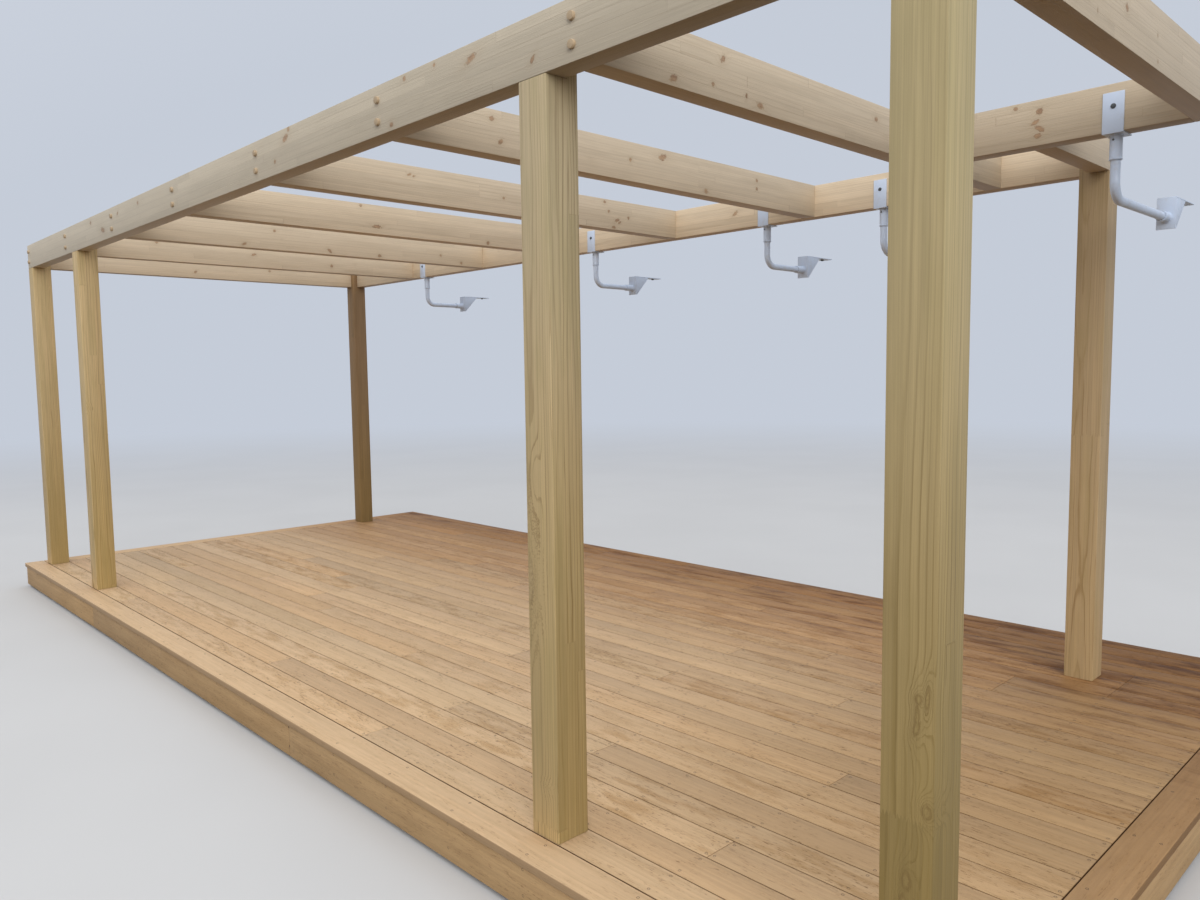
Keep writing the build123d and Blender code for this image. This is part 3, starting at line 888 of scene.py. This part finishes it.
def makeTube(name, spot, outer, direction, length):
    # an open ring of edges, pulled out to length, with the far ring left selected
    nothingSelected()
    bpy.ops.mesh.primitive_circle_add(vertices=bracket["tubeSides"], radius=outer, location=spot,
                                      rotation=lyingBack if direction.y else upright)
    piece = settle(name)
    editMode()
    bpy.ops.mesh.select_mode(type="VERT")
    bpy.ops.mesh.select_all(action="SELECT")
    pullOut(direction * length)
    return piece


def giveWall(piece, wall):
    onlySelected(piece)
    editMode()
    bpy.ops.mesh.select_all(action="SELECT")
    bpy.ops.mesh.remove_doubles(threshold=bracket["merge"])
    bpy.ops.mesh.normals_make_consistent(inside=False)
    objectMode()
    applyModifier(piece, "SOLIDIFY", thickness=wall, offset=-1, use_even_offset=True)


def makeSleeve(name, spot, direction, length):
    # the short tube that a pipe's end goes into
    piece = makeTube(name, spot, bracket["collar"], direction, length)
    giveWall(piece, bracket["collarWall"])
    roundEdges(piece, bracket["tubeEdge"])
    return piece


def makeAngle(name, low, high, corner, reach):
    # an upright plate, with the strip on the thin side of corner drawn back into a flange
    piece = addBlock(name, low, high)
    pickFaces(piece, lambda centre, normal: normal.y > facing)
    bpy.ops.mesh.bisect(plane_co=(0, 0, corner), plane_no=(0, 0, 1))
    objectMode()
    pickFaces(piece, lambda centre, normal: normal.y > facing
              and abs(centre.z - corner) < bracket["plate"])
    pullOut((0, reach, 0))
    roundEdges(piece, bracket["edge"])
    return piece


def weldRing(spot, radius, bead, turn=upright):
    nothingSelected()
    bpy.ops.mesh.primitive_torus_add(
        major_radius=radius, minor_radius=bead, major_segments=bracket["tubeSides"],
        minor_segments=bracket["weldSides"], location=spot, rotation=turn)
    piece = settle("weld")
    bpy.ops.object.shade_smooth()
    return piece


def addBolt(kind, spot, outward, turn):
    across, head, headOut, washerRadius, washerOut = bolts[kind]
    thick = bracket["washer"]
    return [addDisc("bolt", spot + outward * headOut, across / math.sqrt(3), head, turn, 6,
                    head * bracket["headArris"]),
            addDisc("washer", spot + outward * washerOut, washerRadius, thick, turn,
                    arris=thick * bracket["rimArris"])]


def makeBracket(number):
    nodes = [f"bracket_{number}_{part}" for part in ("plate", "pipe", "foot")]
    (plateLow, plateHigh), (pipeLow, pipeHigh), (footLow, footHigh) = (boxesOf[n] for n in nodes)
    plateNode, pipeNode, footNode = nodes
    middle = (plateLow.x + plateHigh.x) / 2
    ledgerLow = beamLow.z
    thick = bracket["plate"]
    towardsFront, towardsFloor = Vector((0, -1, 0)), Vector((0, 0, -1))

    # plate and flange in one bent piece, with a collar under them
    plate = makeAngle("plate", (plateLow.x, plateLow.y, ledgerLow - thick),
                      (plateHigh.x, plateLow.y + thick, plateHigh.z), ledgerLow,
                      plateHigh.y - plateLow.y - thick)
    pipeY = pipeLow.y + bracket["pipe"]
    collarTop = ledgerLow - thick
    collar = makeSleeve("collar", (middle, pipeY, collarTop), towardsFloor,
                        bracket["collarLength"])
    lipZ = collarTop - bracket["collarLength"] + bracket["lipUp"]
    weldZ = collarTop - bracket["weldSunk"]
    parts = [plate, collar, weldRing((middle, pipeY, weldZ), bracket["collar"], bracket["weld"]),
             weldRing((middle, pipeY, lipZ), bracket["collar"] + bracket["lipOut"], bracket["lip"])]
    finishPiece(joinPieces(pieceName(plateNode), parts), whitePaint, "white_steel", plateNode)

    # the pipe: down, round the bend, and back to the foot
    bendTop = pipeLow.z + bracket["pipe"] + bracket["bend"]
    pipe = makeTube(pieceName(pipeNode), (middle, pipeY, pipeHigh.z), bracket["pipe"],
                    towardsFloor, pipeHigh.z - bendTop)
    editMode()
    bpy.ops.mesh.spin(steps=bracket["bendSteps"], angle=-math.pi / 2, axis=(1, 0, 0),
                      center=(middle, pipeY + bracket["bend"], bendTop))
    pullOut((0, pipeHigh.y - pipeY - bracket["bend"], 0))
    giveWall(pipe, bracket["pipeWall"])
    finishPiece(pipe, whitePaint, "white_steel", pipeNode)

    # the foot: face plate and long top flange, gussets and sleeve
    faceY = footLow.y + bracket["sleeve"]
    under = footHigh.z - thick
    foot = makeAngle("foot", (footLow.x, faceY, footLow.z),
                     (footHigh.x, faceY + thick, footHigh.z), under,
                     footHigh.y - faceY - thick)
    parts = [foot]
    for sideX in (footLow.x, footHigh.x - thick):
        gusset = addBlock("gusset", (sideX, faceY + thick, footLow.z),
                          (sideX + thick, faceY + bracket["gusset"], under))
        pickFaces(gusset, lambda centre, normal: False)
        bpy.ops.mesh.select_mode(type="VERT")
        objectMode()
        for vertex in gusset.data.vertices:
            vertex.select = (vertex.co.y > faceY + bracket["gusset"] - hair
                             and vertex.co.z < footLow.z + hair)
        editMode()
        bpy.ops.transform.translate(value=(0, bracket["toe"] + thick - bracket["gusset"], 0))
        objectMode()
        roundEdges(gusset, bracket["edge"])
        parts.append(gusset)
    pipeZ = pipeLow.z + bracket["pipe"]
    sleeve = makeSleeve("sleeve", (middle, faceY, pipeZ), towardsFront, bracket["sleeve"])
    parts += [sleeve, weldRing((middle, faceY - bracket["weldSunk"], pipeZ), bracket["collar"],
                               bracket["weld"], lyingBack)]
    finishPiece(joinPieces(pieceName(footNode), parts), whitePaint, "white_steel", footNode)

    # bolt in the plate, small screw in the collar, two bolts up through the foot
    spot = Vector((middle, plateLow.y, ledgerLow + bracket["boltUp"]))
    steel = addBolt("plate", spot, towardsFront, lyingBack)
    spot = (middle - collarScrew["aside"], pipeY - bracket["collar"],
            collarTop - collarScrew["down"])
    steel.append(addDisc("collarScrew", spot, collarScrew["radius"], collarScrew["head"], lyingBack,
                         arris=collarScrew["head"] * bracket["rimArris"]))
    for away in bracket["footBolts"]:
        steel += addBolt("foot", Vector((middle, faceY + away, under)), towardsFloor, upright)
    finishPiece(joinPieces(f"bracket{number}Bolts", steel), boltSteel, "white_steel")


for number in range(1, 6):
    makeBracket(number)
print("brackets made")


# Stage: soft sky, brighter on the light's side, and a pale floor that fades into it
sky = {"bright": (0.98, 1.0, 1.06), "dim": (0.60, 0.65, 0.74), "below": (0.085, 0.06, 0.035),
       "from": Vector((0.5, -0.6, 0.62)).normalized(), "strength": 0.93}
stage = {"near": (0.62, 0.615, 0.60), "mottled": 0.97, "fadeFrom": 5.0, "fadeTo": 28.0,
         "half": 400.0}


def skyTint(t, towards):
    return t.mix(t.ease(towards, -0.5, 1.0, way="LINEAR"), sky["dim"], sky["bright"])


def floorMaterial():
    t = nodeTools(bpy.data.materials.new("paleFloor"))
    place = t.objectPlace()
    tint = t.noise(place, 0.6, 2.0, 0.5)
    away = t.ease(t.vec("LENGTH", place), stage["fadeFrom"], stage["fadeTo"])
    darker = tuple(part * stage["mottled"] for part in stage["near"])
    colour = t.mix(t.ease(tint, 0.3, 0.7), stage["near"], darker)
    x, y, _ = t.separate(t.vec("NORMALIZE", place))
    towards = t.plus(t.times(x, sky["from"].x), t.times(y, sky["from"].y))
    return t.surface(t.mix(away, colour, (0.0, 0.0, 0.0)), 0.85, tint, 0.0, **{
        "Specular IOR Level": 0.0, "Emission Color": skyTint(t, towards),
        "Emission Strength": t.times(away, sky["strength"])})


nothingSelected()
bpy.ops.mesh.primitive_plane_add(size=2 * stage["half"], location=(0, 0, 0))
floor = bpy.context.object
floor.name = "floor"
floor.data.materials.append(floorMaterial())
floor.visible_diffuse = False       # throws no light up, so the undersides stay dark
floor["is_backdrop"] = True

world = bpy.data.worlds.new("paleSky")
bpy.context.scene.world = world
t = nodeTools(world)
place = t.node("TexCoord").outputs["Generated"]
above = t.ease(t.separate(place)[2], -0.08, -0.02, way="LINEAR")
background = t.node("Background")
skyColour = skyTint(t, t.vec("DOT_PRODUCT", place, sky["from"]))
t.put(t.mix(above, sky["below"], skyColour), background.inputs["Color"])
t.put(sky["strength"], background.inputs["Strength"])
t.put(background.outputs[0], t.node("OutputWorld").inputs[0])

lights = {
    # name: (place, aimed at, size, power, colour)
    "keyLight": ((17.0, -12.0, 10.0), (0.0, 0.0, 1.4), 14.0, 1900, (1.0, 0.985, 0.96)),
    "overheadLight": ((-2.0, -1.5, 9.5), (-2.0, 0.0, 0.0), 12.0, 260, (1.0, 0.99, 0.97)),
}
for name, (place, aim, size, power, colour) in lights.items():
    lamp = bpy.data.lights.new(name, "AREA")
    lamp.shape = "SQUARE"
    lamp.size = size
    lamp.energy = power
    lamp.color = colour
    holder = addToScene(name, lamp)
    holder.location = place
    holder.rotation_euler = (Vector(aim) - Vector(place)).to_track_quat("-Z", "Y").to_euler()
    holder.visible_camera = False

view = {"place": (4.9313, -3.7166, 1.7796), "yaw": 46.2565, "pitch": 4.8476, "roll": 0.7418,
        "lens": 27.29, "sensor": 36, "clip": 0.05}
yaw, pitch, roll = (math.radians(view[key]) for key in ("yaw", "pitch", "roll"))
ahead = Vector((-math.sin(yaw) * math.cos(pitch), math.cos(yaw) * math.cos(pitch),
                -math.sin(pitch)))
right = Vector((math.cos(yaw), math.sin(yaw), 0))
down = ahead.cross(right)
rolledRight = right * math.cos(roll) + down * math.sin(roll)
rolledDown = down * math.cos(roll) - right * math.sin(roll)
cameraData = bpy.data.cameras.new("camera")
cameraData.lens = view["lens"]
cameraData.sensor_width = view["sensor"]
cameraData.sensor_fit = "HORIZONTAL"
cameraData.clip_start = view["clip"]
camera = addToScene("camera", cameraData)
turn = Matrix((rolledRight, -rolledDown, -ahead)).transposed().to_4x4()
camera.matrix_world = Matrix.Translation(view["place"]) @ turn
bpy.context.scene.camera = camera
bpy.context.scene.view_settings.view_transform = "Standard"
bpy.context.scene.view_settings.look = "None"
print("stage, light and camera set")

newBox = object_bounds()
